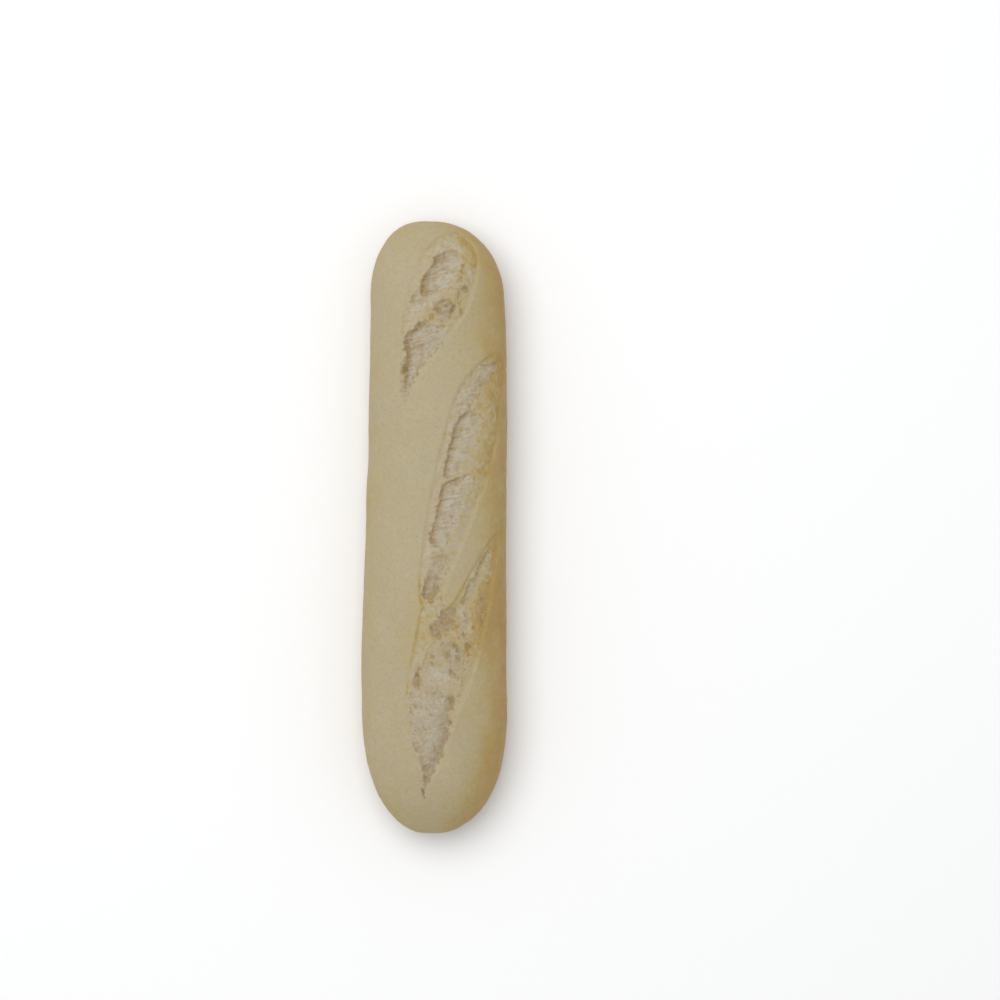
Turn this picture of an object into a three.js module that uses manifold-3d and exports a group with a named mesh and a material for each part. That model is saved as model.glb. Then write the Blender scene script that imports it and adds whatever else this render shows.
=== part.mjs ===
// A part-baked demi-baguette, in millimetres: one loaf, baked as one piece, with three torn scores on its crown.
//
// The loaf lies along Y with its blunt end at +Y and its tapered end at -Y, its crown towards +Z and its flat
// underside on Z = 0. The origin is on the underside, at the middle of the loaf's length and width.

import * as THREE from "three";
import { mergeVertices } from "three/addons/utils/BufferGeometryUtils.js";
import Module from "manifold-3d";

const LENGTH = 270;
const HEIGHT = 45;
const BLUNT_END_WIDTH = 58.4; // what the body narrows or widens to at each end, before it is rounded
const TAPERED_END_WIDTH = 65.6;
const BLUNT_CAP = 36; // how far each rounded end reaches along the loaf
const TAPERED_CAP = 57;
const END_POWER = 2.2; // a superellipse: 2 is an ellipse, more is squarer

const WIDEST_HEIGHT = 19.5; // the level at which the section is widest
const TIP_HEIGHT = 16; // the level of the two tips
const SUNK = 3.5; // how much of the round belly is pressed flat
const CROWN_POWER = 2.1;
const BELLY_POWER = 2.6;

const BLUNT_BOW = 0.8; // the centre line swings this far towards +X in the blunt half
const TAPERED_BOW = 1.05; // and this far towards -X in the tapered half
const BLUNT_LEAN = 5; // how far each tip leans towards -X
const TAPERED_LEAN = 2.4;

const TEAR_DEPTH = 2.5; // from the crust to the torn crumb
const TEAR_RIM_STEPS = 26;

const SECTIONS = 56; // steps along the loaf
const SECTION_SIDES = 44;

// The scores, each opened into a leaf-shaped tear. Both rims run from the head, on the +X side, to the foot.
const TEARS = [
  {
    head: [10, 129.5],
    foot: [-15, 54],
    left: [[-1, 125.5], [-10, 111], [-14.2, 90], [-15.7, 66]],
    right: [[18.7, 118], [14.2, 97], [2.5, 79], [-9.5, 63]],
  },
  {
    head: [27.5, 76.5],
    foot: [-3.5, -37],
    left: [[11, 62], [2, 34], [-4, 4], [-7.5, -27]],
    right: [[28.3, 55], [23.5, 26], [13, -4], [4, -25], [1.8, -34]],
  },
  {
    head: [27, -3],
    foot: [-5, -119],
    left: [[17, -17], [9.5, -30], [5.5, -35], [2, -33], [-5, -33], [-9.3, -50], [-13.4, -76], [-10, -97]],
    right: [[24, -31], [18.5, -55], [13.5, -71], [9, -81], [6, -92], [1.5, -103.5], [-3, -112]],
  },
];

const crust = new THREE.MeshStandardMaterial({ color: 0xc9b88f, roughness: 0.85, metalness: 0 });

const wasm = await Module();
wasm.setup();

// 1 along the body, falling to 0 at each tip.
function endRounding(y) {
  const cap = y > 0 ? BLUNT_CAP : TAPERED_CAP;
  const intoCap = (Math.abs(y) - (LENGTH / 2 - cap)) / cap;
  if (intoCap <= 0) return 1;
  return (1 - Math.min(intoCap, 1) ** END_POWER) ** (1 / END_POWER);
}

function centreLine(y) {
  const bow = y > 0 ? BLUNT_BOW : TAPERED_BOW;
  const lean = y > 0 ? BLUNT_LEAN : TAPERED_LEAN;
  return bow * Math.sin((Math.PI * y) / (LENGTH / 2)) - lean * (1 - endRounding(y));
}

// How far the section reaches in the direction (across, up), as a share of an ellipse's half axes.
function sectionReach(across, up) {
  const power = up > 0 ? CROWN_POWER : BELLY_POWER;
  return (Math.abs(across) ** power + Math.abs(up) ** power) ** (-1 / power);
}

// The loaf before its underside is pressed flat: a sphere whose poles become the tips.
function roundLoaf() {
  const geometry = new THREE.SphereGeometry(1, SECTION_SIDES, SECTIONS);
  const position = geometry.getAttribute("position");
  const point = new THREE.Vector3();
  for (let i = 0; i < position.count; i++) {
    point.fromBufferAttribute(position, i);
    const y = (point.y * LENGTH) / 2;
    const rounding = endRounding(y);
    const halfWidth = THREE.MathUtils.mapLinear(
      y, LENGTH / 2, -LENGTH / 2, BLUNT_END_WIDTH / 2, TAPERED_END_WIDTH / 2,
    );
    const middle = THREE.MathUtils.lerp(TIP_HEIGHT, WIDEST_HEIGHT, rounding);
    const halfHeight = point.z > 0 ? HEIGHT - WIDEST_HEIGHT : WIDEST_HEIGHT + SUNK;
    const turn = Math.atan2(point.x, point.z);
    const across = Math.sin(turn);
    const up = Math.cos(turn);
    const reach = rounding * sectionReach(across, up);
    position.setXYZ(
      i,
      centreLine(y) + halfWidth * reach * across,
      y,
      middle + halfHeight * reach * up,
    );
  }
  return geometry;
}

// The same shape, smaller all round by the depth of a tear: the crumb that a tear lays bare.
function crumbBody(loaf) {
  const shrink = (size) => (size - 2 * TEAR_DEPTH) / size;
  return loaf
    .clone()
    .translate(0, 0, -WIDEST_HEIGHT)
    .scale(shrink(TAPERED_END_WIDTH), shrink(LENGTH), shrink(2 * (HEIGHT - WIDEST_HEIGHT)))
    .translate(0, 0, WIDEST_HEIGHT);
}

// A tear's outline seen from above, raised into a prism that passes through the crown.
function tearPrism({ head, foot, left, right }) {
  const rim = (points) => new THREE.SplineCurve(points.map(([x, y]) => new THREE.Vector2(x, y)));
  const down = rim([head, ...left, foot]).getPoints(TEAR_RIM_STEPS);
  const back = rim([foot, ...[...right].reverse(), head]).getPoints(TEAR_RIM_STEPS);
  const outline = new THREE.Shape([...down.slice(0, -1), ...back.slice(0, -1)]);
  const prism = new THREE.ExtrudeGeometry(outline, { depth: HEIGHT, bevelEnabled: false });
  return prism.translate(0, 0, WIDEST_HEIGHT);
}

// Everything under the table top, which the underside lies flat on.
function underTable() {
  const slab = new THREE.BoxGeometry(2 * TAPERED_END_WIDTH, 2 * LENGTH, HEIGHT);
  return slab.translate(0, 0, -HEIGHT / 2);
}

function solid(geometry) {
  const bare = geometry.clone().deleteAttribute("normal").deleteAttribute("uv");
  const merged = mergeVertices(bare);
  return new wasm.Manifold(
    new wasm.Mesh({
      numProp: 3,
      vertProperties: merged.getAttribute("position").array,
      triVerts: new Uint32Array(merged.getIndex().array),
    }),
  );
}

function geometryOf(manifold) {
  const mesh = manifold.getMesh();
  const geometry = new THREE.BufferGeometry();
  geometry.setAttribute("position", new THREE.BufferAttribute(mesh.vertProperties, 3));
  geometry.setIndex(new THREE.BufferAttribute(mesh.triVerts, 1));
  geometry.computeVertexNormals();
  return geometry;
}

function loafMesh() {
  const round = roundLoaf();
  const crumb = solid(crumbBody(round));
  let loaf = solid(round).subtract(solid(underTable()));
  for (const tear of TEARS) loaf = loaf.subtract(solid(tearPrism(tear)).subtract(crumb));

  const geometry = geometryOf(loaf);
  geometry.computeBoundingBox();
  const middle = geometry.boundingBox.getCenter(new THREE.Vector3());
  geometry.translate(-middle.x, -middle.y, -geometry.boundingBox.min.z);

  const mesh = new THREE.Mesh(geometry, crust);
  mesh.name = "loaf";
  return mesh;
}

const baguette = new THREE.Group();
baguette.add(loafMesh());

export default baguette;
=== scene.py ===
"""A part-baked demi-baguette: a pale, smooth crust, opened on its crown by three long diagonal tears.

The loaf is shaped from a block of square cells, which is wrapped onto the smooth loaf and then sculpted
along its crust's normals: lips, bands of stretched skin, ragged hollows in the crumb, pores and fibres.
The sculpting works in millimetres, in the frame's axes: X across, Y along towards the blunt end, Z up.
"""

import math

import bmesh
import bpy
import numpy as np
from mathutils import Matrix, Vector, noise


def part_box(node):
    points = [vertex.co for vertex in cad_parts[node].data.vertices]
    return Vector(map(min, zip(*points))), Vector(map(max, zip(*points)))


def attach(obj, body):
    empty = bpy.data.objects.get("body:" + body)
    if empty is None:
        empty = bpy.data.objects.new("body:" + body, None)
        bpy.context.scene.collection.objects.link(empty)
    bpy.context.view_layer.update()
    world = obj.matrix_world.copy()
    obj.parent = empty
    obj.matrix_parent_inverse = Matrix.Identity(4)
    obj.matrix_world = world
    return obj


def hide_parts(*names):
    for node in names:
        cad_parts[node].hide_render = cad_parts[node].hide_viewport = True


bl_info = {
    "name": "Part-Baked Baguette",
    "version": (1, 0, 0),
    "blender": (4, 5, 0),
    "location": "3D View > Sidebar > Baguette",
    "description": "Shapes one part-baked baguette with three torn scores, and a plain studio for it",
    "category": "Object",
}

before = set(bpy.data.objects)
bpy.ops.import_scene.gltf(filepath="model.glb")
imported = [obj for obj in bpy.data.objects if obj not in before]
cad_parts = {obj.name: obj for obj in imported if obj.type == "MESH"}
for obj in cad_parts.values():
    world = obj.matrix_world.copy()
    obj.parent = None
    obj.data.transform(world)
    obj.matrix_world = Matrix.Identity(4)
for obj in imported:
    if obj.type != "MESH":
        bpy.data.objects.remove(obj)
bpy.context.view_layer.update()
MM = 0.001
WIDTH, LENGTH, HEIGHT = ((high - low) / MM for low, high in zip(*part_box("loaf")))

# The smooth loaf, as the frame's: a body with a rounded cap at each end, pressed flat underneath. Its
# centre line swings towards +X in the blunt half and -X in the other, and both tips lean towards -X.
BLUNT_END_WIDTH = 0.91 * WIDTH
TAPERED_END_WIDTH = 1.022 * WIDTH
BLUNT_CAP = 0.133 * LENGTH
TAPERED_CAP = 0.211 * LENGTH
END_POWER = 2.2
WIDEST_HEIGHT = 0.433 * HEIGHT
TIP_HEIGHT = 0.356 * HEIGHT
SUNK = 3.5
SOLE_EDGE = 0.8
CROWN_POWER = 2.1
BELLY_POWER = 2.6
BLUNT_BOW = 0.8
TAPERED_BOW = 1.05
BLUNT_LEAN = 5.0
TAPERED_LEAN = 2.4

# The block of cells that the loaf is sculpted in, and how finely its wrapping is measured.
CELLS_ACROSS = 22
CELLS_ALONG = 128
SECTION_POINTS = 721
PROFILE_POINTS = 4001

# The cells get finer this far outside a rim, then this far, and then this far outside a hollow or bubble.
COARSE_REACH = 4.0
FINE_REACH = 1.4
CRUMB_REACH = 0.5

# A tear shapes the crust this far outside its rim, and nothing lower than this is in a tear. A place well
# outside an outline counts as this far from it.
TEAR_REACH = 5.0
LOWEST_TEAR = WIDEST_HEIGHT - 2
FAR = 12.0

# How high or deep each kind of unevenness is.
RIPPLE_HEIGHT = 0.06
DENT_DEPTH = 0.16
CREASE_DEPTH = 0.3
CROWN_SWELL = 1.3
SKIN_BULGE = 0.12
VEIN_DEPTH = 0.12
PORE_DEPTH = 0.35
BEAD_DEPTH = 0.25

# A pattern is shifted by this many times its size for each step of its seed.
SEED_STEP = 17.3

# The way that the crumb was pulled apart, turned from X, and the rows of holes in the baking tray.
PULL_LEAN = math.radians(15)
ACROSS_SCORE = np.round((math.cos(PULL_LEAN), math.sin(PULL_LEAN), 0), 3)
ALONG_SCORE = np.round((-math.sin(PULL_LEAN), math.cos(PULL_LEAN), 0), 3)
TRAY_PITCH = 4.5

# Where along the loaf each of these starts to show, and where it shows fully: threads instead of matted
# crumb, a brown left rim, a brown band inside the right rim, and a darker stretch, partly browner crust
# and partly painted shadow, with its two ends.
THREADS_FADE = (-60, 20)
BROWN_RIM_FADE = (-92, -74)
BROWN_BAND_FADE = (76, 92)
SHADOW_AND_TAN_BELOW = (-68, -52)
SHADOW_AND_TAN_ABOVE = (-14, -34)

# The zones whose edges are frayed, each with the values at which it starts and is whole.
FRAYED_ZONES = {"torn": (0.1, 0.9), "opened": (0.1, 0.9), "pitted_and_shaded": (0.1, 1.1), "shadowed": (-0.1, 1.1)}

# The studio: lengths and places in metres, and the tint of the white surroundings. The camera looks
# straight down at the view's centre.
FLOOR_REACH = 3
KEY_WIDTH = 1.3
KEY_PLACE = (-0.3, 0.4, 1.5)
SURROUNDINGS = (0.97, 0.98, 1.0, 1)
VIEW_CENTRE = (28.9 * MM, 12 * MM)
VIEW_LEVEL = 0.45 * HEIGHT * MM

# The three scores, opened into tears. Both rims run from the head, at +X, to the foot, at -X.
TEARS = (
    {
        "head": (10, 129.5),
        "foot": (-15, 54),
        "left": ((-1, 125.5), (-10, 111), (-14.2, 90), (-15.7, 66)),
        "right": ((18.7, 118), (14.2, 97), (2.5, 79), (-9.5, 63)),
    },
    {
        "head": (27.5, 76.5),
        "foot": (-3.5, -37),
        "left": ((11, 62), (2, 34), (-4, 4), (-7.5, -27)),
        "right": ((28.3, 55), (23.5, 26), (13, -4), (4, -25), (1.8, -34)),
    },
    {
        "head": (27, -3),
        "foot": (-5, -119),
        "left": (
            (17, -17), (9.5, -30), (5.5, -35), (2, -33), (-5, -33), (-9.3, -50), (-13.4, -76), (-10, -97),
        ),
        "right": ((24, -31), (18.5, -55), (13.5, -71), (9, -81), (6, -92), (1.5, -103.5), (-3, -112)),
    },
)

# Where the skin inside a tear gave way too, down to the crumb, which lies deepest on the steep side. Some
# hollows are darkened all over, by the given share, with painted shade that is partly browner crumb, and
# some are opened only in part.
HOLLOWS = (
    {
        "outline": (
            (7.3, 121.8), (3.5, 120.9), (-0.6, 118.3), (-1.2, 116), (-3, 113.3), (-5.1, 110),
            (-6.5, 107.1), (-6.9, 103.4), (-5.5, 100.9), (-1.8, 101.6), (2.6, 103.5), (7, 105),
            (9.4, 108), (11.4, 111.2), (12.6, 115.3), (11, 119.5),
        ),
        "depth": 2.6,
        "steep": (-0.9, 0.44),
    },
    {
        "outline": (
            (-7, 105.5), (-8.6, 104.5), (-10.5, 101.3), (-10.8, 98), (-8, 97.9), (-4.5, 99.6), (-5, 102),
        ),
        "depth": 1.7,
        "steep": (-0.75, -0.66),
        "shade_and_brown_share": 0.3,
    },
    {
        "outline": (
            (-1.2, 97.4), (1.1, 98.8), (4.1, 99.6), (6.7, 98.5), (8.4, 95.9), (7.6, 93.2), (5.9, 90.9),
            (3.5, 88.8), (0, 90), (-1.2, 93),
        ),
        "depth": 1.8,
        "steep": (0.97, 0.24),
        "shade_and_brown_share": 0.5,
    },
    {
        "outline": (
            (-1.1, 96.3), (-0.4, 98), (1.3, 99.2), (3.5, 99.8), (6.4, 99), (8.2, 97.2), (7.4, 96.2),
            (4.8, 97.4), (2.6, 97.4), (0.4, 96.2),
        ),
        "depth": 0.4,
        "steep": (0, 1),
        "shade_and_brown_share": 0.7,
    },
    {
        "outline": (
            (8.2, 104.4), (10.6, 105), (12.6, 106.2), (14.7, 104.8), (13.4, 103.2), (11.5, 102.2),
            (10.9, 100), (10, 97.2), (8.4, 98.2), (8.8, 101.4),
        ),
        "depth": 1.0,
        "steep": (0.97, -0.24),
        "opened": 0.3,
        "shade_and_brown_share": 1.0,
    },
    {
        "outline": (
            (-6.7, 89.5), (-9.2, 87.6), (-11.1, 86.2), (-13.2, 84.3), (-13.8, 82.1), (-13.9, 79.4),
            (-14.5, 77.7), (-13.6, 76.1), (-13.8, 72.7), (-15.3, 70), (-15.1, 68.1), (-13.8, 66.4),
            (-14.7, 64), (-14.3, 60.5), (-12, 60), (-8.6, 66.4), (-7.1, 68.9), (-5, 72.7), (-1.8, 75.6),
            (0.5, 77.5), (3.9, 80.7), (6.6, 84.3), (3, 88), (-3, 89),
        ),
        "depth": 2.7,
        "steep": (-0.93, 0.37),
    },
    {
        "outline": (
            (-14.6, 74), (-15.6, 70), (-15.4, 66), (-15.6, 60), (-14, 56), (-12.4, 58), (-12.4, 62),
            (-11.2, 66), (-12.6, 70), (-13, 73.5),
        ),
        "depth": 0.6,
        "steep": (-0.93, 0.37),
        "shade_and_brown_share": 0.9,
    },
    {
        "outline": (
            (26.5, 73), (22, 71.5), (17.5, 67.5), (13.5, 63.5), (9.5, 56), (8.5, 50), (12, 50), (17, 55),
            (20.9, 62), (23.6, 63.6), (24.1, 65.8), (26, 68), (27.5, 70.5),
        ),
        "depth": 1.3,
        "steep": (0.9, -0.44),
    },
    {
        "outline": ((9, 46), (5.5, 34), (3.5, 23), (8, 22), (14, 30), (19, 40), (20, 48), (14, 51)),
        "depth": 2.4,
        "steep": (-0.95, 0.3),
    },
    {
        "outline": ((3, 18), (-0.5, 5), (-3, -6), (2, -9), (8, -2), (14, 12), (17, 22), (10, 22)),
        "depth": 2.2,
        "steep": (-0.95, 0.3),
    },
    {
        "outline": (
            (0, -10), (-3, -18), (-6, -27), (-5.5, -31), (-2, -31.5), (0.5, -29), (2.5, -20), (5, -12),
        ),
        "depth": 2.0,
        "steep": (-0.5, -0.85),
        "shade_and_brown_share": 0.6,
    },
    {
        "outline": (
            (23.8, -9), (20.8, -14), (17.2, -21.5), (15, -23.6), (12.2, -29.5), (12.6, -33),
            (15.6, -32.8), (18.6, -30.6), (20, -24), (24, -18.5), (25.4, -12),
        ),
        "depth": 1.5,
        "steep": (-0.9, 0.44),
    },
    {
        "outline": (
            (3.7, -35.4), (1.4, -37.3), (1.5, -40.5), (-1, -41.7), (-2.6, -44.6), (-1.9, -47.4),
            (0, -48.8), (2.8, -48.8), (4.3, -46.1), (8.4, -44.6), (8.6, -41.7), (9.2, -38), (10, -34),
            (7, -35.4),
        ),
        "depth": 1.7,
        "steep": (-0.8, 0.6),
        "shade_and_brown_share": 1.0,
    },
    {
        "outline": (
            (9, -33), (13, -33.5), (15.8, -38), (16.4, -44), (16, -50), (15, -56), (12.5, -52),
            (9.6, -47), (9.4, -42), (9.8, -38),
        ),
        "depth": 0.35,
        "steep": (-0.9, 0.44),
        "opened": 0.75,
    },
    {
        "outline": (
            (18, -30), (20.5, -29), (22.4, -33), (22.8, -38), (21.8, -43), (20, -44), (18.6, -41),
            (17.8, -36),
        ),
        "depth": 0.2,
        "steep": (0.9, 0.44),
        "opened": 0.2,
        "shade_and_brown_share": 0.5,
    },
    {
        "outline": (
            (4.3, -47), (-0.5, -50), (-4, -54), (-6, -60), (-9.5, -61), (-10.5, -70), (-11.5, -77),
            (-5, -79), (8, -78), (10.5, -70), (13, -61), (15.5, -55), (14, -49), (9, -46),
        ),
        "depth": 0.4,
        "steep": (-0.95, 0.3),
        "opened": 0.55,
    },
    {
        "outline": (
            (3, -51), (7, -50), (11, -52.5), (12.5, -56), (11.8, -60), (9.5, -62.5), (6, -61.5),
            (3.5, -58.5), (2, -55),
        ),
        "depth": 0.9,
        "steep": (0.9, 0.44),
        "shade_and_brown_share": 0.4,
    },
    {
        "outline": (
            (-7.4, -60.9), (-6.2, -65), (-5.9, -68), (-6.9, -70.6), (-9.7, -70.2), (-10.3, -66),
            (-9, -62.6),
        ),
        "depth": 1.2,
        "steep": (-0.95, 0.3),
        "shade_and_brown_share": 0.95,
    },
    {
        "outline": (
            (8.1, -77.9), (5.9, -80.1), (5.3, -83.2), (7.2, -85.4), (5, -87), (5.9, -89.5), (5.9, -92.6),
            (3.7, -96.4), (3.4, -99.6), (0.9, -103.3), (-1.3, -107.7), (-3.2, -112.1), (-5.6, -115.6),
            (-5.4, -111.5), (-5.9, -107.1), (-7, -103.7), (-6.8, -100.8), (-9.2, -97.7), (-10.1, -94.5),
            (-10.8, -88), (-11.4, -84.5), (-10.6, -81.3), (-11.7, -77), (-9.5, -73.5), (-6.5, -74.5),
            (-3.5, -70.5), (0, -69.5), (2.5, -72.5), (5, -73.5), (8, -73.8),
        ),
        "depth": 1.5,
        "steep": (0.9, -0.44),
    },
)

# Burst bubbles: middle, length, width, depth. They lean one way in the blunt half and the other way in the
# tapered half. Those with a depth below 0 are pale flakes that stand up.
BUBBLE_POINTS = 14
BLUNT_BUBBLES_LEAN = math.radians(74)
TAPERED_BUBBLES_LEAN = math.radians(106)
BUBBLES = (
    ((12, 113.8), 5, 1.6, 1.0),
    ((10.8, 108.5), 3, 1.4, 0.7),
    ((13.9, 104.6), 2, 1.2, 0.7),
    ((15.4, 106.5), 3, 1.0, 0.4),
    ((17.8, 114.5), 4, 1.4, 0.5),
    ((14.5, 108), 3, 0.9, 0.4),
    ((0.8, 94.8), 2.4, 3.0, 1.1),
    ((4.3, 96.6), 1.3, 1.3, 0.8),
    ((7.5, 95.5), 3.4, 1.4, 1.0),
    ((6.4, 92.6), 3.4, 1.4, 0.9),
    ((-2.0, 91.8), 4.4, 2.6, 0.8),
    ((-4.5, 90), 2, 2, 0.8),
    ((-6.3, 102.4), 2.8, 1.4, 0.8),
    ((-7.5, 88), 1.8, 2.2, 0.8),
    ((-8.4, 67.4), 2.5, 1.4, 0.8),
    ((2.9, 80.2), 3, 1.2, 0.5),
    ((0.2, 77.8), 2, 1.0, 0.5),
    ((-3.4, 74.6), 4, 1.2, 0.5),
    ((12.3, 127.1), 3, 0.8, 0.4),
    ((14.1, 124.8), 2.4, 0.8, 0.4),
    ((9.2, 123.4), 4, 4, -0.5),
    ((11.8, 120.6), 4, 3, -0.5),
    ((15.3, 119.0), 4, 2, -0.4),
    ((9.4, 99.4), 3, 2, -0.4),
    ((-10, 94), 5, 3, -0.4),
    ((4, 86), 4, 2, -0.4),
    ((-13.4, 72.9), 1.8, 1.4, 0.6),
    ((-14.3, 68.9), 3.4, 2, 0.9),
    ((-13.4, 66), 1.8, 1.4, 0.7),
    ((-14.2, 63.2), 2.8, 1.6, 0.8),
    ((9.8, 100.4), 3.6, 1.2, 0.6),
    ((10.8, 95.5), 1.8, 1.0, 0.5),
    ((11.4, 94), 3.6, 1.4, 0.7),
    ((-12.8, 78.5), 2, 1.2, 0.7),
    ((-8.2, -64.5), 3, 1.4, 0.6),
    ((-8.0, -68.4), 3, 1.8, 0.6),
    ((-7.2, -60.5), 2, 1.0, 0.6),
    ((-1.3, -56.6), 2.8, 2, 0.7),
    ((-1.2, -60), 3, 1.6, 0.5),
    ((5.1, -56.1), 3, 2.2, 0.8),
    ((8.4, -51.8), 2.4, 2.6, 0.8),
    ((9.6, -53.6), 2.6, 2, 0.9),
    ((14, -52.2), 4, 2.8, 1.2),
    ((14.6, -55.6), 3, 1.4, 1.1),
    ((10.1, -57.5), 4, 2.4, 0.6),
    ((6.8, -63.2), 2.4, 2.6, 0.9),
    ((8.4, -65), 2.4, 2.4, 0.8),
    ((9.8, -65.8), 2.4, 1.8, 0.6),
    ((12.3, -46.7), 2.4, 1.6, 0.7),
    ((12.8, -38), 2.6, 1.4, 0.7),
    ((13.4, -41), 1.6, 1.2, 0.5),
    ((20.7, -36.8), 1.8, 1.0, 0.6),
    ((20.9, -41.5), 2, 1.2, 0.4),
    ((20.6, -31.5), 2.2, 1.4, 0.6),
    ((12, -32.5), 3, 1.4, 0.9),
    ((-0.6, -72.4), 2, 2.8, 0.6),
    ((3.4, -73.8), 1.2, 1.4, 0.6),
    ((7.2, -76.2), 4, 1.8, 0.7),
    ((-11.2, -80), 4.5, 1.2, 0.7),
    ((6.6, -85.3), 4, 1.0, 0.5),
    ((-9.6, -95.9), 4, 1.0, 0.6),
    ((-4.7, -88.4), 1.4, 1.4, 0.5),
    ((-4.2, -105.4), 3.4, 3, 0.5),
    ((-4.7, -110.3), 2.4, 1.4, 0.7),
    ((-5.6, -116.3), 5, 1.1, 1.1),
    ((-4.3, -50.6), 2.2, 1.2, 0.5),
    ((-5.6, -53.2), 1.6, 1.0, 0.5),
    ((-2.0, -43.4), 2.6, 1.2, 0.8),
    ((0.8, -38.4), 2.6, 1.0, 1.0),
    ((-1.8, -32.4), 2, 2.6, 0.8),
    ((2.8, -32.6), 4.6, 0.9, 0.6),
    ((-1, -38.2), 6, 3.4, -0.4),
    ((9.1, -46.4), 3, 3, -0.3),
    ((11.4, -37.4), 4, 2, -0.4),
    ((-2.9, -52.6), 3, 3, -0.3),
    ((0.9, -64.4), 4, 4, -0.3),
    ((4.7, -65.6), 4, 3, -0.4),
    ((15, -45), 5, 2, -0.3),
)


def shade(red, green, blue):
    """A colour as a paint chart gives it, 0 to 255, in the linear light that shaders work in."""
    return tuple((value / 255) ** 2.2 for value in (red, green, blue))


def colour(name, description, default):
    """A colour that a user may change."""
    return bpy.props.FloatVectorProperty(
        name=name, description=description, default=default, subtype="COLOR", min=0, max=1
    )


def size(name, description, millimetres):
    """A length that a user may change, given in millimetres."""
    return bpy.props.FloatProperty(
        name=name, description=description, default=millimetres * MM, min=0, unit="LENGTH", precision=5
    )


class CrustSettings(bpy.types.PropertyGroup):
    pale: colour("Pale crust", "Colour of the crust on the crown", shade(172, 160, 130))
    straw: colour("Straw crust", "Colour of the crust halfway down the sides", shade(172, 153, 101))
    golden: colour("Golden crust", "Colour of the crust low on the sides", shade(165, 130, 75))
    floured: colour("Flour", "Colour of the flour left on the crust", shade(178, 168, 141))
    speck: colour("Speck", "Colour of the few bran specks", shade(112, 88, 56))
    waviness: size("Waviness", "How far the crust swells and sinks over a few centimetres", 0.45)
    lip: size("Lip", "How high the crust curls up along a tear", 0.16)


class CrumbSettings(bpy.types.PropertyGroup):
    skin: colour("Stretched skin", "Colour of the skin between rim and crumb", shade(176, 164, 133))
    crumb: colour("Crumb", "Colour of the torn crumb", shade(183, 176, 160))
    # The hollow crumb colour is partly the browner colour of torn crumb and partly painted shade, laid in
    # the crumb's low places and under the torn edges.
    hollow: colour("Hollow crumb", "Colour of crumb that lies low or under an edge", shade(146, 123, 83))
    # The pit colour is partly the browner colour inside bubbles and partly painted shade, laid deep in
    # pits, pores and beads.
    pit: colour("Pit", "Colour deep in a bubble or pore", shade(153, 125, 72))
    step: size("Step", "How far the stretched skin lies below the crust", 0.7)
    fibres: size("Fibres", "How high the fibres of the torn crumb stand", 0.35)
    raggedness: size("Raggedness", "How far a torn edge wanders", 0.7)


class StudioSettings(bpy.types.PropertyGroup):
    floor: colour("Floor", "Colour of the floor", shade(246, 246, 245))
    framed: size("Framed width", "How wide a view the camera takes in", 440)
    distance: size("Camera distance", "How far the camera is above the loaf", 2800)
    key: bpy.props.FloatProperty(
        name="Key light",
        description="Power of the large soft light",
        default=14.5,
        min=0,
        subtype="POWER",
    )
    fill: bpy.props.FloatProperty(
        name="Fill",
        description="Brightness of the white surroundings",
        default=0.64,
        min=0,
        subtype="FACTOR",
    )


def end_rounding(y):
    """1 along the body, falling to 0 at each tip."""
    cap = np.where(y > 0, BLUNT_CAP, TAPERED_CAP)
    into_cap = np.clip((np.abs(y) - (LENGTH / 2 - cap)) / cap, 0, 1)
    return (1 - into_cap**END_POWER) ** (1 / END_POWER)


def centre_line(y):
    """Where the middle of the section lies along X."""
    bow = np.where(y > 0, BLUNT_BOW, TAPERED_BOW)
    lean = np.where(y > 0, BLUNT_LEAN, TAPERED_LEAN)
    return bow * np.sin(math.pi * y / (LENGTH / 2)) - lean * (1 - end_rounding(y))


def half_width(y):
    """Half the body's width, which changes evenly along it."""
    return (TAPERED_END_WIDTH + (BLUNT_END_WIDTH - TAPERED_END_WIDTH) * (y / LENGTH + 0.5)) / 2


def smooth_loaf(turn, y):
    """Places on the smooth loaf, at a turn from the crown towards +X and at y along it."""
    across, up = np.sin(turn), np.cos(turn)
    power = np.where(up > 0, CROWN_POWER, BELLY_POWER)
    reach = end_rounding(y) * (np.abs(across) ** power + np.abs(up) ** power) ** (-1 / power)
    middle = TIP_HEIGHT + (WIDEST_HEIGHT - TIP_HEIGHT) * end_rounding(y)
    half_height = np.where(up > 0, HEIGHT - WIDEST_HEIGHT, WIDEST_HEIGHT + SUNK)
    x = centre_line(y) + half_width(y) * reach * across
    z = middle + half_height * reach * up
    pressed_flat = (z + np.hypot(z, SOLE_EDGE)) / 2
    return np.column_stack((x, y, pressed_flat))


def crown_over(plan):
    """The places on the crown that lie straight over or under places given by x and y."""
    x, y = np.asarray(plan, float).T
    rounding = end_rounding(y)
    across = np.clip(np.abs(x - centre_line(y)) / (half_width(y) * rounding), 0, 1)
    up = (1 - across**CROWN_POWER) ** (1 / CROWN_POWER)
    middle = TIP_HEIGHT + (WIDEST_HEIGHT - TIP_HEIGHT) * rounding
    return np.column_stack((x, y, middle + (HEIGHT - WIDEST_HEIGHT) * rounding * up))


def closed_curve(knots, steps=6):
    """A smooth closed line through the knots."""
    here = np.array(knots, float)
    before, after, beyond = (np.roll(here, shift, axis=0) for shift in (1, -1, -2))
    t = (np.arange(steps) / steps)[:, None, None]
    line = here + (after - before) * t / 2
    line = line + (2 * before - 5 * here + 4 * after - beyond) * t**2 / 2
    line = line + (3 * here - before - 3 * after + beyond) * t**3 / 2
    return line.transpose(1, 0, 2).reshape(-1, here.shape[1])


def tear_outline(tear):
    return closed_curve([tear["head"], *tear["left"], tear["foot"], *reversed(tear["right"])])


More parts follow.
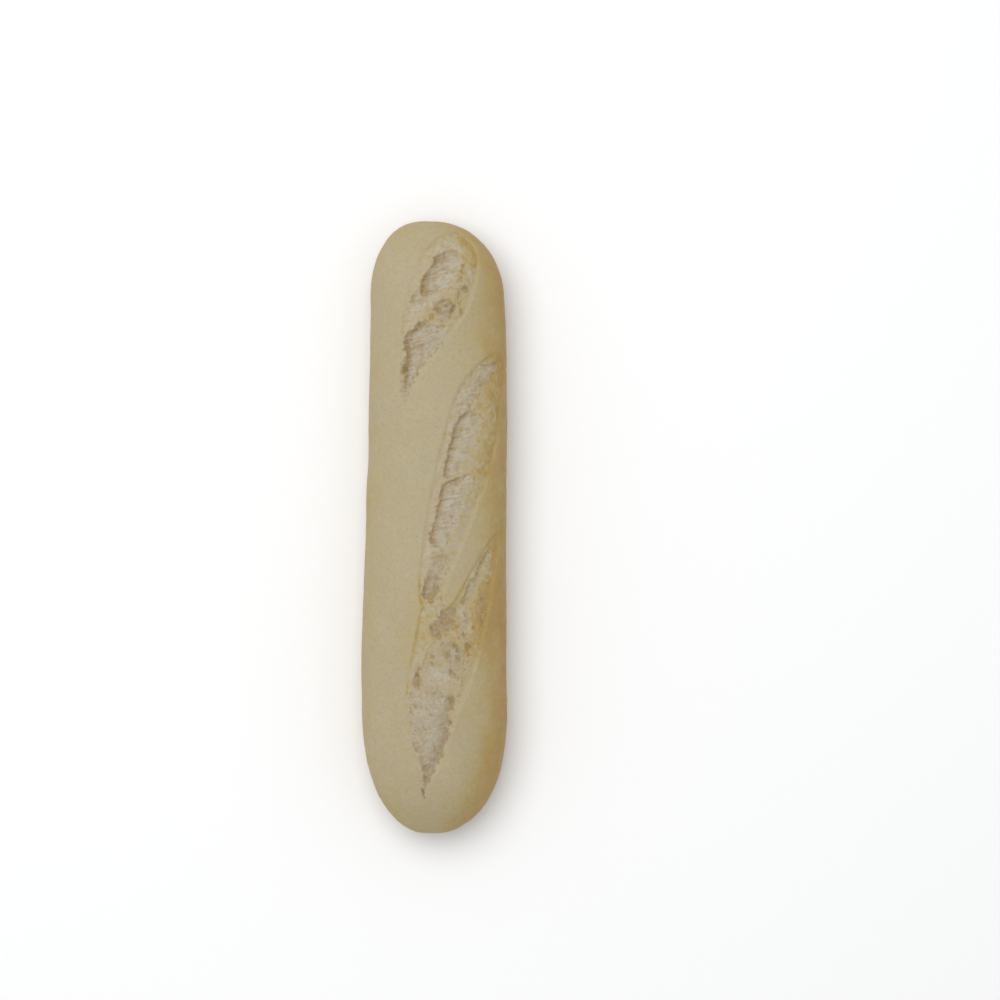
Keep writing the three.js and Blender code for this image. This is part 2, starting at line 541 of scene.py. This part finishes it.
def bubble_outline(middle, length, width):
    """An ellipse lying as the rims do in its half of the loaf."""
    lean = BLUNT_BUBBLES_LEAN if middle[1] > 0 else TAPERED_BUBBLES_LEAN
    turn = np.linspace(0, 2 * math.pi, BUBBLE_POINTS, endpoint=False)
    along, across = length / 2 * np.cos(turn), width / 2 * np.sin(turn)
    x = middle[0] + along * math.cos(lean) - across * math.sin(lean)
    y = middle[1] + along * math.sin(lean) + across * math.cos(lean)
    return np.column_stack((x, y))


def depth_inside(places, outline):
    """How far places are inside an outline drawn on the crown. It is below 0 outside."""
    edge_line = crown_over(outline)
    depth = np.full(len(places), -FAR)
    low, high = edge_line.min(axis=0) - FAR / 2, edge_line.max(axis=0) + FAR / 2
    near = np.flatnonzero(((places > low) & (places < high)).all(axis=1))
    here = places[near]
    nearest = np.full(len(near), FAR)
    inside = np.zeros(len(near), bool)
    for start, end in zip(edge_line, np.roll(edge_line, -1, axis=0)):
        edge = end - start
        along = np.clip((here - start) @ edge / (edge @ edge), 0, 1)
        gap = start + along[:, None] * edge - here
        nearest = np.minimum(nearest, np.linalg.norm(gap, axis=1))
        spans = (start[1] > here[:, 1]) != (end[1] > here[:, 1])
        crossing = start[0] + (here[:, 1] - start[1]) * edge[0] / (edge[1] or 1e-9)
        inside ^= spans & (here[:, 0] < crossing)
    inside &= here[:, 2] > LOWEST_TEAR
    depth[near] = np.where(inside, nearest, -nearest)
    return depth


def tear_depth(places):
    """How far places are inside the nearest tear. It is below 0 outside."""
    return np.max([depth_inside(places, tear_outline(tear)) for tear in TEARS], axis=0)


def crumb_depth(places):
    """How far places are inside the nearest hollow or bubble. It is below 0 outside."""
    hollows = [depth_inside(places, closed_curve(hollow["outline"])) for hollow in HOLLOWS]
    bubbles = [depth_inside(places, bubble_outline(*bubble[:3])) for bubble in BUBBLES]
    return np.max(hollows + bubbles, axis=0)


def ease(low, high, value):
    """0 up to low, 1 from high, and a smooth rise between them."""
    share = np.clip((value - low) / (high - low), 0, 1)
    return share * share * (3 - 2 * share)


def hump(value, width):
    """1 where the value is 0, falling to nearly 0 at two widths from it."""
    return np.exp(-((value / width) ** 2))


def wander(places, size, octaves, seed, stretch=(1, 1, 1)):
    """Smooth random values of about -1 to 1 that change over the given size."""
    scaled = places / (size * np.array(stretch)) + SEED_STEP * seed
    return np.array([noise.fractal(place, 1, 2, octaves) for place in scaled.tolist()])


def pores(places, size, seed, share):
    """Small round holes of random width, as values of 0 to 1. The larger the share, the more there are."""
    scaled = places / size + SEED_STEP * seed
    holes = np.zeros(len(places))
    for index, place in enumerate(scaled.tolist()):
        distances, centres = noise.voronoi(place)
        luck = noise.cell(centres[0] * 5.7) / 2 + share
        radius = 0.45 * max(0.0, luck)
        if distances[0] < radius:
            holes[index] = 1 - (distances[0] / radius) ** 2
    return holes


def places_of(dough):
    """The places of all corners, as rows of x, y and z."""
    return np.array([corner.co for corner in dough.verts])


def wrap(block):
    """Where the corners of the block's cells come to lie on the smooth loaf, and how far round it each is.

    The block is 2 wide each way. A walk round its section is 8 long, starts from the middle of the
    underside and goes up the -X side. A walk along it starts from the middle of the blunt end.
    """
    x, y, z = block.T
    ring = np.maximum(np.abs(x), np.abs(z))
    across, up = x / np.maximum(ring, 1e-9), z / np.maximum(ring, 1e-9)
    edge = 1 - 1e-5
    walked_round = np.select(
        [across <= -edge, up >= edge, across >= edge, across <= 0],
        [2 + up, 4 + across, 6 - up, -across],
        8 - across,
    ) / 8
    cap_share = CELLS_ACROSS / 2 / (CELLS_ALONG + CELLS_ACROSS)
    walked_along = np.select(
        [y >= edge, y <= -edge],
        [cap_share * ring, 1 - cap_share * ring],
        cap_share + (1 - 2 * cap_share) * (1 - y) / 2,
    )

    turns = np.linspace(-math.pi, math.pi, SECTION_POINTS)
    section = smooth_loaf(turns, np.zeros_like(turns))
    swings = np.linspace(0, math.pi, PROFILE_POINTS)
    profile_y = LENGTH / 2 * np.cos(swings)
    profile = smooth_loaf(np.full_like(swings, math.pi / 2), profile_y)
    turn = np.interp(walked_round, share_walked(section), turns)
    swing = np.interp(walked_along, share_walked(profile), swings)
    return smooth_loaf(turn, LENGTH / 2 * np.cos(swing)), turn


def share_walked(line):
    """How far along a line each of its points is, from 0 to 1."""
    walked = np.concatenate(([0], np.cumsum(np.linalg.norm(np.diff(line, axis=0), axis=1))))
    return walked / walked[-1]


def runs_along(edge, axis):
    start, end = edge.verts
    return abs(start.co[axis] - end.co[axis]) > 1e-6


def dough_block():
    """A closed block of square cells, finer where the tears will be, and finest in their crumb."""
    dough = bmesh.new()
    bmesh.ops.create_cube(dough, size=2)
    for axis, cells in ((0, CELLS_ACROSS), (2, CELLS_ACROSS), (1, CELLS_ALONG)):
        edges = [edge for edge in dough.edges if runs_along(edge, axis)]
        bmesh.ops.subdivide_edges(dough, edges=edges, cuts=cells - 1, use_grid_fill=True)
    finer = ((tear_depth, COARSE_REACH), (tear_depth, FINE_REACH), (crumb_depth, CRUMB_REACH))
    for depth_of, reach in finer:
        near = depth_of(wrap(places_of(dough))[0]) > -reach
        faces = [face for face in dough.faces if any(near[corner.index] for corner in face.verts)]
        edges = list({edge for face in faces for edge in face.edges})
        bmesh.ops.subdivide_edges(dough, edges=edges, cuts=1, use_grid_fill=True)
    bmesh.ops.recalc_face_normals(dough, faces=dough.faces)
    return dough


def normals_of(mesh, places):
    """The directions that the crust faces in, once the mesh's corners are moved to these places."""
    mesh.vertices.foreach_set("co", places.ravel())
    mesh.update()
    normals = np.empty(len(places) * 3)
    mesh.vertex_normals.foreach_get("vector", normals)
    return normals.reshape(-1, 3)


def swelling(places, waviness):
    """How far the crust stands out or lies in, away from the tears."""
    high_up = places[:, 2] / HEIGHT
    low_down = 1 - high_up
    dents = wander(places, size=11, octaves=3, seed=25, stretch=(1, 2, 1))
    creases = hump(wander(places, size=9, octaves=3, seed=24, stretch=(1, 3, 1)), 0.12)
    rise = waviness * wander(places, size=34, octaves=3, seed=1)
    rise += RIPPLE_HEIGHT * wander(places, size=6, octaves=2, seed=2)
    rise += DENT_DEPTH * ease(0.2, 0.6, low_down) * dents
    rise += CROWN_SWELL * ease(0.55, 0.95, high_up) * wander(places, size=40, octaves=2, seed=26)
    rise -= CREASE_DEPTH * ease(0.35, 0.75, low_down) * creases
    return rise


def rim_shape(here, inside, lip, step):
    """The lip that the crust curls up into along a tear, and the drop from it to the stretched skin."""
    curl = lip * (0.75 + 0.8 * wander(here, size=11, octaves=2, seed=5))
    drop = step * (1 + 0.6 * wander(here, size=9, octaves=2, seed=15))
    bulge = SKIN_BULGE * np.clip(inside, 0, 7)
    return curl * hump(inside + 0.6, 1.3) + (bulge - drop * ease(-1.0, 0.9, inside))


def hollow_shapes(here, inside, raggedness):
    """How far the hollows sink, how bare their crumb is, how much painted shade, partly browner crumb,
    lies under their steep edges and over some of them, and where their edges run.
    """
    ragged_edge = 0.9 * wander(here, size=3.4, octaves=3, seed=7)
    ragged_edge += 0.6 * wander(here, size=1.0, octaves=3, seed=8)
    mottling = np.clip(0.85 + 0.9 * wander(here, size=2.0, octaves=3, seed=27), 0.2, 1)
    sunk, bare, shade_and_brown, edges = (np.zeros(len(here)) for _ in range(4))
    for hollow in HOLLOWS:
        outline = closed_curve(hollow["outline"])
        steep = np.array(hollow["steep"])
        depth = np.minimum(depth_inside(here, outline) + raggedness * ragged_edge, inside - 0.3)
        reach = outline @ steep
        tilt = np.interp(here[:, :2] @ steep, (reach.min(), reach.max()), (0.1, 1))
        wall = ease(-0.4, 1.9, depth)
        floor = 0.4 + 0.6 * np.exp(-np.maximum(depth, 0) / 3.5)
        # Painted shade on the crumb under each hollow's steep edge, partly browner crumb, and over some
        # hollows all over.
        shade_under_edge = ease(-0.3, 0.5, depth) * np.exp(-np.maximum(depth - 0.3, 0) / 3.2)
        sunk = np.maximum(sunk, hollow["depth"] * tilt * wall * floor)
        bare = np.maximum(bare, hollow.get("opened", 1) * ease(-0.3, 1.0, depth) * ease(0, 0.5, tilt))
        shade_and_brown = np.maximum(shade_and_brown, min(1, hollow["depth"] / 2) * ease(0.25, 0.9, tilt) * shade_under_edge)
        shade_and_brown = np.maximum(shade_and_brown, hollow.get("shade_and_brown_share", 0) * ease(0, 1.2, depth) * mottling)
        edges = np.maximum(edges, hump(depth, 0.6))
    return sunk, bare, shade_and_brown, edges


def crumb_shape(here, inside, bare, threaded):
    """How far the torn crumb stands out, in fibre heights, and how bare it is once frayed."""
    fibre_places = np.column_stack((here @ ALONG_SCORE, here @ ACROSS_SCORE / 6, here[:, 2] / 4))
    strands = threaded * (0.6 - 2 * np.abs(wander(fibre_places, size=1.6, octaves=2, seed=9)))
    knobs = 0.5 * wander(here, size=1.5, octaves=3, seed=10)
    knobs += (0.35 + 0.35 * threaded) * wander(here, size=3.8, octaves=3, seed=16)
    tufts = 1.2 * wander(here, size=2.2, octaves=3, seed=20)
    fraying = wander(here, size=9, octaves=2, seed=19) - 0.03 * (inside - 4)
    frayed = tearing(inside) * ease(-0.4, 0.3, fraying)
    crumble = 0.5 * strands * bare + knobs * bare + 0.8 * tufts * frayed * (1 - bare)
    return crumble, np.maximum(bare, 0.7 * frayed * ease(-0.3, 0.5, tufts))


def bubble_shapes(here):
    """How far the burst bubbles sink, and where their pits and the pale flakes are."""
    ragged_edge = 0.5 * wander(here, size=1.6, octaves=2, seed=11)
    ragged_edge += 0.5 * wander(here, size=0.7, octaves=2, seed=21)
    sunk, pits, flakes = (np.zeros(len(here)) for _ in range(3))
    for middle, length, width, depth in BUBBLES:
        hole = ease(-0.5, 0.8, depth_inside(here, bubble_outline(middle, length, width)) + ragged_edge)
        sunk += 0.8 * depth * hole
        pits = np.maximum(pits, hole * min(1, depth))
        flakes += hole * max(0, -2 * depth)
    return sunk, pits, flakes


def tearing(inside):
    """1 in a tear, falling to 0 at its rim."""
    return ease(0.2, 1.4, inside)


def browner_in_tear(here, rim_depth, inside, bare, threaded):
    """How much browner a tear is along its rims, in stains, and in the band inside its right rim."""
    in_tear = tearing(inside)
    deeper_to_right = tear_depth(here + (0.5, 0, 0)) - rim_depth
    left_rim = (0.2 + 0.4 * (1 - threaded)) * ease(-0.2, 0.3, deeper_to_right)
    left_rim *= ease(*BROWN_RIM_FADE, here[:, 1])
    patchy = 0.5 * wander(here, size=5, octaves=3, seed=17) + left_rim - 0.06
    rim_line = np.clip(hump(inside - 0.3, 0.5) * patchy, 0, 0.7)
    stains = in_tear * (1 - 0.7 * bare) * ease(0.1, 0.5, wander(here, size=3.4, octaves=3, seed=22))
    right_band = in_tear * (1 - bare) * ease(0.2, -0.3, deeper_to_right)
    right_band *= ease(*BROWN_BAND_FADE, here[:, 1])
    return rim_line + 0.28 * stains + 0.2 * right_band


def tear_open(here, rim_depth, crust, crumb):
    """How far the crust near a tear rises, how much browner it is, and what the material reads there."""
    inside = rim_depth + 0.3 * wander(here, size=3.2, octaves=3, seed=3)
    in_tear = tearing(inside)
    threaded = ease(*THREADS_FADE, here[:, 1])

    sunk, bare, shade_and_brown, edges = hollow_shapes(here, inside, crumb.raggedness / MM)
    crumble, bare = crumb_shape(here, inside, bare, threaded)
    bubbles_sunk, pits, flakes = bubble_shapes(here)
    veins = in_tear * (1 - threaded) * hump(wander(here, size=5, octaves=3, seed=28), 0.07)
    small = pores(here, size=1.7, seed=12, share=0.2) * in_tear
    small += pores(here, size=1.3, seed=18, share=0.25) * hump(inside - 0.6, 0.7)
    beads = edges * ease(0.0, 0.45, wander(here, size=1.8, octaves=3, seed=23))

    rise = rim_shape(here, inside, crust.lip / MM, crumb.step / MM)
    rise += crumb.fibres / MM * crumble - sunk - bubbles_sunk
    rise -= VEIN_DEPTH * veins + PORE_DEPTH * small + BEAD_DEPTH * beads

    browner = browner_in_tear(here, rim_depth, inside, bare, threaded) + 0.3 * veins
    zones = {
        "torn": ease(-0.4, 0.7, inside),
        "opened": bare,
        "pitted_and_shaded": np.maximum(pits, np.maximum(0.5 * small, 0.75 * beads)),
        "shadowed": shade_and_brown,
        "relief": crumble + flakes,
        "thready": 0.25 + 0.75 * threaded,
    }
    return rise, browner, zones


def baking(places, normals, rim_depth):
    """How far the crust is baked: more low down, and on the +X side, where the extra browning is partly
    painted shade. Beside the third tear it is darker still, partly browner crust and partly painted
    shadow.
    """
    low_down = 1 - places[:, 2] / HEIGHT
    # The +X side is browner: partly baked colour, partly painted shade on that side.
    right_side_bake_and_shade = np.maximum(normals[:, 0], 0)
    uneven = 0.12 * wander(places, size=24, octaves=3, seed=14)
    golden = ease(0.0, 1.1, low_down + 0.62 * right_side_bake_and_shade + uneven)
    # A darker stretch beside the third tear: partly browner crust, partly painted shadow.
    shadow_and_tan = ease(*SHADOW_AND_TAN_BELOW, places[:, 1]) * ease(*SHADOW_AND_TAN_ABOVE, places[:, 1])
    return golden + 0.22 * shadow_and_tan * hump(np.minimum(rim_depth, 0), 8)


def sculpt(places, normals, turn, crust, crumb):
    """Moves places on the smooth loaf to the real crust. Returns them, and the zones for the material."""
    rise = swelling(places, crust.waviness / MM)
    rim_depth = tear_depth(places)
    golden = baking(places, normals, rim_depth)
    near = np.flatnonzero(rim_depth > -TEAR_REACH)
    torn_rise, browner, torn_zones = tear_open(places[near], rim_depth[near], crust, crumb)
    rise[near] += torn_rise
    golden[near] += browner

    sole = ease(1.6, 0.4, places[:, 2])
    rise *= 1 - ease(0.75, 0.97, np.abs(turn) / math.pi) * sole
    sculpted = places + normals * rise[:, None]
    sculpted[:, 2] = np.maximum(sculpted[:, 2], 0)

    zones = {"golden": golden, "sole": sole}
    for name, values in torn_zones.items():
        zones[name] = np.zeros(len(places))
        zones[name][near] = values
    return sculpted, zones


class MaterialNodes:
    """Adds nodes to a material, and gives back the output that they lead to. Sizes are in millimetres."""

    def __init__(self, material):
        material.use_nodes = True
        self.tree = material.node_tree
        self.tree.nodes.clear()
        self.where = self.add("ShaderNodeTexCoord").outputs["Object"]

    def add(self, kind, links=None, values=None, **settings):
        """A node with its settings, its input values, and links into it from other nodes' outputs."""
        node = self.tree.nodes.new(kind)
        for name, value in settings.items():
            setattr(node, name, value)
        for name, value in (values or {}).items():
            node.inputs[name].default_value = value
        for name, output in (links or {}).items():
            self.tree.links.new(output, node.inputs[name])
        return node

    def zone(self, name):
        """A value that the sculpting left on the mesh."""
        return self.add("ShaderNodeAttribute", attribute_name=name).outputs["Fac"]

    def turned(self, **values):
        """The places on the loaf, for a pattern that is turned and stretched."""
        mapping = self.add("ShaderNodeMapping", {"Vector": self.where}, values, vector_type="TEXTURE")
        return mapping.outputs[0]

    def clouds(self, size, detail=3.0, roughness=0.55):
        """Cloudy values of about 0 to 1."""
        values = {"Scale": 1 / (size * MM), "Detail": detail, "Roughness": roughness}
        return self.add("ShaderNodeTexNoise", {"Vector": self.where}, values).outputs["Fac"]

    def patches(self, size, detail=3.0, roughness=0.55):
        """Cloudy values of about -0.5 to 0.5."""
        return self.maths("SUBTRACT", self.clouds(size, detail, roughness), 0.5)

    def threads(self, width):
        """Clouds drawn out along the way that the crumb was pulled apart, of about -0.5 to 0.5."""
        pulled = self.turned(Rotation=(0, 0, PULL_LEAN), Scale=(5, 1, 2))
        values = {"Scale": 1 / (width * MM), "Detail": 4.0, "Roughness": 0.65, "Distortion": 0.6}
        clouds = self.add("ShaderNodeTexNoise", {"Vector": pulled}, values)
        return self.maths("SUBTRACT", clouds.outputs["Fac"], 0.5)

    def tray_dots(self):
        """Round marks, in rows, left by the holes of a baking tray."""
        rows = self.turned(Rotation=(0, 0, math.pi / 4), Scale=(TRAY_PITCH * MM,) * 3)
        values = {"Scale": 1.0, "Randomness": 0.0}
        dots = self.add("ShaderNodeTexVoronoi", {"Vector": rows}, values, voronoi_dimensions="2D")
        return self.ramp(dots.outputs["Distance"], 0.38, 0.26)

    def ramp(self, value, low, high, top=1.0):
        """0 at low, the top at high, and nothing beyond either."""
        values = {"From Min": low, "From Max": high, "To Min": 0.0, "To Max": top}
        return self.add("ShaderNodeMapRange", {"Value": value}, values).outputs["Result"]

    def maths(self, operation, first, second):
        node = self.add("ShaderNodeMath", operation=operation)
        for socket, value in zip(node.inputs, (first, second)):
            self.feed(socket, value)
        return node.outputs[0]

    def times(self, first, second):
        return self.maths("MULTIPLY", first, second)

    def plus(self, first, second):
        return self.maths("ADD", first, second)

    def blend(self, share, under, over):
        """The colour over, laid on the colour under in the given share."""
        node = self.add("ShaderNodeMix", data_type="RGBA")
        # The node has several sockets called A, B and Result. These are its colours'.
        for index, value in ((0, share), (6, under), (7, over)):
            self.feed(node.inputs[index], value)
        return node.outputs[2]

    def feed(self, socket, value):
        """Gives a socket another node's output, a number, or a colour."""
        if isinstance(value, bpy.types.NodeSocket):
            self.tree.links.new(value, socket)
        elif isinstance(value, (int, float)):
            socket.default_value = value
        else:
            socket.default_value = (*value, 1)


def bread_material(crust, crumb):
    """Crust and crumb in one material, which the zones on the mesh tell apart."""
    material = bpy.data.materials.new("bread")
    nodes = MaterialNodes(material)
    fray = nodes.patches(1.3, 5, 0.75)
    zones = {name: nodes.zone(name) for name in ("golden", "sole", "thready", "relief")}
    for name, (low, high) in FRAYED_ZONES.items():
        zones[name] = nodes.ramp(nodes.plus(nodes.zone(name), nodes.times(fray, 1.5)), low, high)

    fibres = bread_fibres(nodes, zones["thready"])
    heights = nodes.plus(zones["relief"], nodes.times(fray, 1.4))
    heights = nodes.plus(heights, nodes.times(fibres, 2.8))
    dots = nodes.times(nodes.tray_dots(), zones["sole"])
    dots = nodes.times(dots, nodes.ramp(nodes.clouds(14), 0.35, 0.6))

    surface = crust_over_crumb(nodes, zones, heights, crust, crumb)
    surface = marks_over_bread(nodes, zones, heights, dots, surface, crust, crumb)
    shader = nodes.add(
        "ShaderNodeBsdfPrincipled",
        {
            "Base Color": surface,
            "Roughness": bread_roughness(nodes, zones),
            "Normal": bread_bump(nodes, zones, fibres, dots),
        },
        {
            "Specular IOR Level": 0.3,
            "Subsurface Weight": 0.35,
            "Subsurface Radius": (1.0, 0.6, 0.3),
            "Subsurface Scale": 1.5 * MM,
        },
    )
    nodes.add("ShaderNodeOutputMaterial", {"Surface": shader.outputs["BSDF"]})
    return material


def bread_fibres(nodes, thready):
    """The fine grain of the torn crumb, from threads at the blunt end to matted at the tapered end."""
    threads = nodes.times(nodes.threads(1.0), thready)
    matting = nodes.maths("SUBTRACT", 1.5, nodes.times(thready, 1.5))
    return nodes.plus(threads, nodes.times(nodes.patches(0.8, 4, 0.8), matting))


def crust_over_crumb(nodes, zones, heights, crust, crumb):
    """The colours of pale crust, stretched skin and crumb, whose low places get painted shade, then baked
    to straw and golden. The baking holds painted shade on the +X side and beside the third tear.
    """
    blotches = nodes.plus(nodes.patches(11, 5, 0.6), nodes.patches(3))
    flecks = nodes.times(nodes.times(nodes.patches(1.1, 4, 0.7), 0.7), zones["golden"])
    baked = nodes.plus(nodes.plus(zones["golden"], nodes.times(blotches, 0.5)), flecks)
    baked = nodes.times(baked, nodes.maths("SUBTRACT", 1.0, nodes.times(zones["opened"], 0.6)))

    dusting = nodes.ramp(nodes.clouds(22, 5, 0.6), 0.45, 0.75, 0.5)
    surface = nodes.blend(dusting, crust.pale, crust.floured)
    surface = nodes.blend(zones["torn"], surface, crumb.skin)
    # The crumb's low places take the hollow colour: painted shade.
    crumb_with_shade = nodes.blend(nodes.ramp(heights, -1.6, 0.6), crumb.hollow, crumb.crumb)
    shown = nodes.plus(nodes.times(zones["opened"], 0.45), nodes.times(zones["torn"], 0.5))
    surface = nodes.blend(shown, surface, crumb_with_shade)
    surface = nodes.blend(nodes.ramp(baked, 0.0, 0.6, 0.9), surface, crust.straw)
    return nodes.blend(nodes.ramp(baked, 0.35, 1.15), surface, crust.golden)


def marks_over_bread(nodes, zones, heights, dots, surface, crust, crumb):
    """Flour, painted shade under the torn edges, pits darkened partly by painted shade, bran specks and
    the tray's marks.
    """
    untorn = nodes.maths("SUBTRACT", 1.0, zones["torn"])
    dusted = nodes.times(nodes.ramp(nodes.clouds(9, 8, 0.75), 0.5, 0.72, 0.4), untorn)
    surface = nodes.blend(dusted, surface, crust.floured)
    # Painted shade, partly browner crumb, under the torn edges and over some hollows.
    shadowed = nodes.times(zones["shadowed"], nodes.plus(nodes.ramp(heights, 1.0, -0.8, 0.5), 0.55))
    surface = nodes.blend(shadowed, surface, crumb.hollow)
    # Pits, pores and beads darkened: partly their browner colour, partly painted shade.
    surface = nodes.blend(nodes.times(zones["pitted_and_shaded"], 0.8), surface, crumb.pit)
    specks = nodes.ramp(nodes.clouds(1.4, 1), 0.76, 0.8, 0.5)
    surface = nodes.blend(specks, surface, crust.speck)
    dusted_sole = nodes.times(zones["sole"], nodes.ramp(nodes.clouds(7, 5, 0.7), 0.4, 0.7, 0.6))
    surface = nodes.blend(dusted_sole, surface, crust.floured)
    return nodes.blend(nodes.times(dots, 0.4), surface, crust.pale)


def bread_roughness(nodes, zones):
    """A dry, slightly uneven crust, and rougher crumb."""
    dry = nodes.plus(nodes.ramp(nodes.clouds(4), 0.3, 0.7, 0.14), 0.62)
    return nodes.plus(dry, nodes.times(zones["torn"], 0.2))


def bread_bump(nodes, zones, fibres, dots):
    """The grain and fine wrinkles of the crust, the crumb's pores and fibres, and the tray's marks."""
    grain = nodes.times(nodes.clouds(0.6, 3, 0.6), 0.25)
    grain = nodes.plus(grain, nodes.times(nodes.clouds(2.2, 3, 0.65), 1.1))
    wrinkles = nodes.maths("ABSOLUTE", nodes.patches(5), 0)
    grain = nodes.plus(grain, nodes.times(wrinkles, 2.2))
    crumble = nodes.times(nodes.clouds(1.1, 4, 0.6), nodes.plus(zones["opened"], zones["torn"]))
    crumble = nodes.plus(crumble, nodes.times(fibres, nodes.times(zones["opened"], 2.5)))
    height = nodes.plus(nodes.plus(grain, crumble), nodes.times(dots, 1.5))
    bump = nodes.add("ShaderNodeBump", {"Height": height}, {"Strength": 0.4, "Distance": 0.2 * MM})
    return bump.outputs["Normal"]


def linked_object(name, data):
    new_object = bpy.data.objects.new(name, data)
    bpy.context.scene.collection.objects.link(new_object)
    return new_object


class BAGUETTE_OT_loaf(bpy.types.Operator):
    """Shape the loaf, tear its scores open and give it its crust"""

    bl_idname = "baguette.loaf"
    bl_label = "Shape the Loaf"
    bl_options = {"REGISTER", "UNDO"}

    def execute(self, context):
        crust, crumb = context.scene.baguette_crust, context.scene.baguette_crumb
        dough = dough_block()
        places, turn = wrap(places_of(dough))
        mesh = bpy.data.meshes.new("baguette_loaf")
        dough.to_mesh(mesh)
        dough.free()

        places, zones = sculpt(places, normals_of(mesh, places), turn, crust, crumb)
        places[:, 0] -= (places[:, 0].min() + places[:, 0].max()) / 2
        mesh.vertices.foreach_set("co", (places * MM).ravel())
        mesh.shade_smooth()
        for name, values in zones.items():
            mesh.attributes.new(name, "FLOAT", "POINT").data.foreach_set("value", values)
        mesh.materials.append(bread_material(crust, crumb))
        mesh.update()

        loaf = linked_object("baguette_loaf", mesh)
        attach(loaf, "root")
        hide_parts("loaf")
        return {"FINISHED"}


class BAGUETTE_OT_studio(bpy.types.Operator):
    """Lay the pale floor, light it softly and put the camera over the loaf"""

    bl_idname = "baguette.studio"
    bl_label = "Set up the Studio"
    bl_options = {"REGISTER", "UNDO"}

    def execute(self, context):
        studio = context.scene.baguette_studio
        self.lay_floor(studio)
        self.hang_lights(context.scene, studio)
        self.place_camera(context.scene, studio)
        context.scene.view_settings.view_transform = "Standard"
        return {"FINISHED"}

    def lay_floor(self, studio):
        sheet = bmesh.new()
        bmesh.ops.create_grid(sheet, x_segments=1, y_segments=1, size=FLOOR_REACH)
        mesh = bpy.data.meshes.new("floor")
        sheet.to_mesh(mesh)
        sheet.free()
        material = bpy.data.materials.new("pale_floor")
        material.use_nodes = True
        shader = material.node_tree.nodes["Principled BSDF"]
        shader.inputs["Base Color"].default_value = (*studio.floor, 1)
        shader.inputs["Roughness"].default_value = 0.9
        mesh.materials.append(material)
        linked_object("floor", mesh)

    def hang_lights(self, scene, studio):
        key = bpy.data.lights.new("key", "AREA")
        key.shape, key.size, key.energy = "DISK", KEY_WIDTH, studio.key
        lamp = linked_object("key", key)
        lamp.location = KEY_PLACE
        lamp.rotation_euler = (-lamp.location).to_track_quat("-Z", "Y").to_euler()
        world = bpy.data.worlds.new("white_surroundings")
        world.use_nodes = True
        background = world.node_tree.nodes["Background"]
        background.inputs["Color"].default_value = SURROUNDINGS
        background.inputs["Strength"].default_value = studio.fill
        scene.world = world

    def place_camera(self, scene, studio):
        lens = bpy.data.cameras.new("camera")
        lens.sensor_width = 36
        lens.lens = lens.sensor_width * studio.distance / studio.framed
        camera = linked_object("camera", lens)
        camera.location = (*VIEW_CENTRE, VIEW_LEVEL + studio.distance)
        scene.camera = camera


class BAGUETTE_PT_sidebar(bpy.types.Panel):
    bl_label = "Baguette"
    bl_idname = "BAGUETTE_PT_sidebar"
    bl_space_type = "VIEW_3D"
    bl_region_type = "UI"
    bl_category = "Baguette"

    def draw(self, context):
        groups = (
            (BAGUETTE_OT_loaf, (context.scene.baguette_crust, context.scene.baguette_crumb)),
            (BAGUETTE_OT_studio, (context.scene.baguette_studio,)),
        )
        for operator, settings in groups:
            box = self.layout.box()
            for group in settings:
                for name in group.bl_rna.properties.keys():
                    if name not in {"rna_type", "name"}:
                        box.prop(group, name)
            box.operator(operator.bl_idname)


SETTINGS = {
    "baguette_crust": CrustSettings,
    "baguette_crumb": CrumbSettings,
    "baguette_studio": StudioSettings,
}
CLASSES = (*SETTINGS.values(), BAGUETTE_OT_loaf, BAGUETTE_OT_studio, BAGUETTE_PT_sidebar)


def register():
    for item in CLASSES:
        bpy.utils.register_class(item)
    for name, group in SETTINGS.items():
        setattr(bpy.types.Scene, name, bpy.props.PointerProperty(type=group))


def unregister():
    for name in SETTINGS:
        delattr(bpy.types.Scene, name)
    for item in reversed(CLASSES):
        bpy.utils.unregister_class(item)


def main():
    register()
    bpy.ops.baguette.loaf()
    bpy.ops.baguette.studio()


if __name__ == "__main__":
    main()
